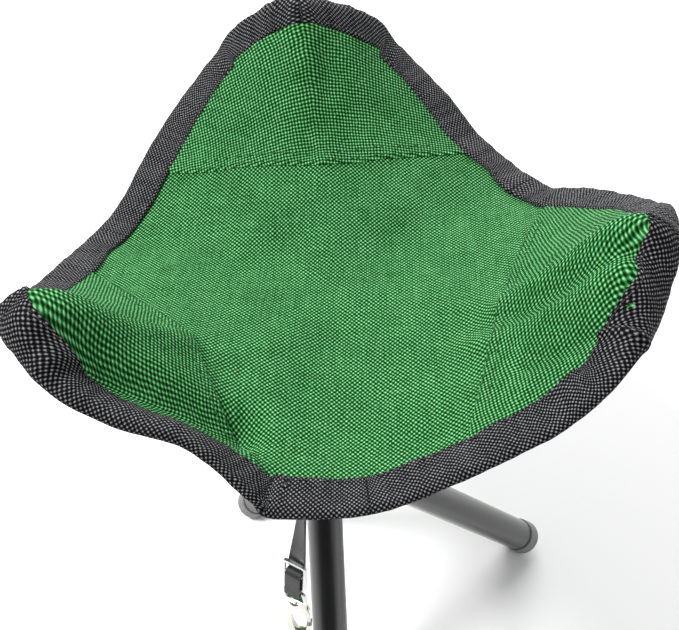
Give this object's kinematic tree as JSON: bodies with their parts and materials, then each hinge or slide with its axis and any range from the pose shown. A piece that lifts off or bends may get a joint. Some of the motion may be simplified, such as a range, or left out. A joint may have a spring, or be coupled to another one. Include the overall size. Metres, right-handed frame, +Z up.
{
  "type": "folding tripod stool",
  "caption": "Folding camping stool: crossed tube legs on a moulded hub, a woven sling seat with taped edges on the leg tops, and a strap with a snap hook that ties the folded legs.",
  "frame": {"origin": "on the floor, under the middle of the outline of the opened stool", "axes": "+Z up; -Y towards the front foot and the strap; +X towards the left foot"},
  "size_m": [0.3167, 0.3189, 0.3949],
  "materials": {
    "tube_paint": "gloss black paint on steel tube",
    "foot_plastic": "moulded, satin",
    "hub_plastic": "moulded, satin",
    "pin_steel": "bright zinc",
    "seat_cloth": "coarse woven polyester",
    "pocket_cloth": "coarse woven polyester",
    "binding_tape": "woven tape",
    "strap_webbing": "ribbed webbing",
    "hook_metal": "plated zinc"
  },
  "bodies": {
    "hub": {"hub": "hub_plastic", "pivot_pins": "pin_steel"},
    "front_leg": {"front_leg_tube": "tube_paint", "front_foot": "foot_plastic", "front_leg_plug": "foot_plastic", "rear_under_pocket": "pocket_cloth"},
    "rear_corner": {"rear_corner_patch": "seat_cloth"},
    "rear_seat_ccw": {"rear_seat_half_ccw": "seat_cloth", "rear_binding_ccw": "binding_tape"},
    "rear_seat_cw": {"rear_seat_half_cw": "seat_cloth", "rear_binding_cw": "binding_tape"},
    "right_leg": {"right_leg_tube": "tube_paint", "right_foot": "foot_plastic", "right_leg_plug": "foot_plastic", "left_under_pocket": "pocket_cloth"},
    "left_corner": {"left_corner_patch": "seat_cloth"},
    "left_seat_ccw": {"left_seat_half_ccw": "seat_cloth", "left_binding_ccw": "binding_tape"},
    "left_seat_cw": {"left_seat_half_cw": "seat_cloth", "left_binding_cw": "binding_tape"},
    "left_leg": {"left_leg_tube": "tube_paint", "left_foot": "foot_plastic", "left_leg_plug": "foot_plastic", "right_under_pocket": "pocket_cloth"},
    "right_corner": {"right_corner_patch": "seat_cloth"},
    "right_seat_ccw": {"right_seat_half_ccw": "seat_cloth", "right_binding_ccw": "binding_tape"},
    "right_seat_cw": {"right_seat_half_cw": "seat_cloth", "right_binding_cw": "binding_tape"},
    "strap": {"strap_webbing": "strap_webbing", "slider_frame": "hook_metal", "strap_loop": "strap_webbing"},
    "slider_bar": {"slider_bar": "hook_metal"},
    "hook_swivel": {"hook_swivel": "hook_metal"},
    "hook": {"hook_body": "hook_metal", "gate_pin": "hook_metal"},
    "hook_gate": {"hook_gate": "hook_metal"}
  },
  "joints": [
    {"name": "fold", "type": "hinge", "parent": "hub", "child": "front_leg", "pos_m": [-0.0245, -0.0069, 0.1695], "axis": [1, 0, 0], "range_deg": [0, 36], "deforming": ["rear_under_pocket"]},
    {"name": "rear_corner_turn", "type": "hinge", "parent": "front_leg", "child": "rear_corner", "pos_m": [-0.0245, 0.14592, 0.37984], "axis": [0.1366, 0.7564, 0.6397], "range_deg": [0, 86.86], "deforming": ["rear_corner_patch"]},
    {"name": "rear_seat_ccw_turn", "type": "hinge", "parent": "rear_corner", "child": "rear_seat_ccw", "pos_m": [-0.0245, 0.14592, 0.37984], "axis": [0.1193, -0.889, -0.4421], "range_deg": [0, 11.52], "deforming": ["rear_seat_half_ccw", "rear_binding_ccw"]},
    {"name": "rear_seat_cw_turn", "type": "hinge", "parent": "rear_corner", "child": "rear_seat_cw", "pos_m": [-0.0245, 0.14592, 0.37984], "axis": [0.1193, -0.889, -0.4421], "range_deg": [-12.15, 0], "deforming": ["rear_seat_half_cw", "rear_binding_cw"]},
    {"name": "right_leg_fold", "type": "hinge", "parent": "hub", "child": "right_leg", "pos_m": [0.00625, -0.02465, 0.1695], "axis": [-0.5, 0.866, 0], "range_deg": [0, 36], "deforming": ["left_under_pocket"]},
    {"name": "left_corner_turn", "type": "hinge", "parent": "right_leg", "child": "left_corner", "pos_m": [-0.1261, -0.10107, 0.37984], "axis": [-0.7234, -0.2599, 0.6397], "range_deg": [0, 86.86], "deforming": ["left_corner_patch"]},
    {"name": "left_seat_ccw_turn", "type": "hinge", "parent": "left_corner", "child": "left_seat_ccw", "pos_m": [-0.1261, -0.10107, 0.37984], "axis": [0.7103, 0.5478, -0.4421], "range_deg": [0, 16.07], "deforming": ["left_seat_half_ccw", "left_binding_ccw"]},
    {"name": "left_seat_cw_turn", "type": "hinge", "parent": "left_corner", "child": "left_seat_cw", "pos_m": [-0.1261, -0.10107, 0.37984], "axis": [0.7103, 0.5478, -0.4421], "range_deg": [-11.52, 0], "deforming": ["left_seat_half_cw", "left_binding_cw"]},
    {"name": "left_leg_fold", "type": "hinge", "parent": "hub", "child": "left_leg", "pos_m": [0.00625, 0.01085, 0.1695], "axis": [-0.5, -0.866, 0], "range_deg": [0, 36], "deforming": ["right_under_pocket"]},
    {"name": "right_corner_turn", "type": "hinge", "parent": "left_leg", "child": "right_corner", "pos_m": [0.1386, -0.06556, 0.37984], "axis": [0.5868, -0.4965, 0.6397], "range_deg": [0, 86.86], "deforming": ["right_corner_patch"]},
    {"name": "right_seat_ccw_turn", "type": "hinge", "parent": "right_corner", "child": "right_seat_ccw", "pos_m": [0.1386, -0.06556, 0.37984], "axis": [-0.8295, 0.3412, -0.4421], "range_deg": [0, 12.15], "deforming": ["right_seat_half_ccw", "right_binding_ccw"]},
    {"name": "right_seat_cw_turn", "type": "hinge", "parent": "right_corner", "child": "right_seat_cw", "pos_m": [0.1386, -0.06556, 0.37984], "axis": [-0.8295, 0.3412, -0.4421], "range_deg": [-16.07, 0], "deforming": ["right_seat_half_cw", "right_binding_cw"]},
    {"name": "strap_hang", "type": "hinge", "parent": "left_seat_ccw", "child": "strap", "pos_m": [-0.0135, -0.1539, 0.312], "axis": [0.6546, -0.2499, -0.7134], "range_deg": [0, 86.19]},
    {"name": "slider_bar_slide", "type": "slide", "parent": "strap", "child": "slider_bar", "axis": [-0.1251, 0.061, -0.9903], "range_m": [0, 0.006]},
    {"name": "hook_swing", "type": "hinge", "parent": "strap", "child": "hook_swivel", "pos_m": [-0.02388, -0.15449, 0.25015], "axis": [0.8988, -0.4384, 0], "range_deg": [-15, 15]},
    {"name": "hook_turn", "type": "hinge", "parent": "hook_swivel", "child": "hook", "pos_m": [-0.02388, -0.15449, 0.25015], "axis": [0, 0, 1], "continuous": true},
    {"name": "gate_open", "type": "hinge", "parent": "hook", "child": "hook_gate", "pos_m": [-0.01988, -0.15449, 0.2326], "axis": [0, -1, 0], "range_deg": [-22, 0], "stiffness_Nm_per_rad": 0.003}
  ],
  "couplings": [
    {"joint": "rear_corner_turn", "follows": "fold", "ratio": 2.4125},
    {"joint": "rear_seat_ccw_turn", "follows": "fold", "ratio": 0.31982},
    {"joint": "rear_seat_cw_turn", "follows": "fold", "ratio": -0.33715},
    {"joint": "right_leg_fold", "follows": "fold", "ratio": 1},
    {"joint": "left_corner_turn", "follows": "fold", "ratio": 2.4125},
    {"joint": "left_seat_ccw_turn", "follows": "fold", "ratio": 0.44623},
    {"joint": "left_seat_cw_turn", "follows": "fold", "ratio": -0.31982},
    {"joint": "left_leg_fold", "follows": "fold", "ratio": 1},
    {"joint": "right_corner_turn", "follows": "fold", "ratio": 2.4125},
    {"joint": "right_seat_ccw_turn", "follows": "fold", "ratio": 0.33715},
    {"joint": "right_seat_cw_turn", "follows": "fold", "ratio": -0.44623},
    {"joint": "strap_hang", "follows": "fold", "ratio": 2.3938}
  ]
}
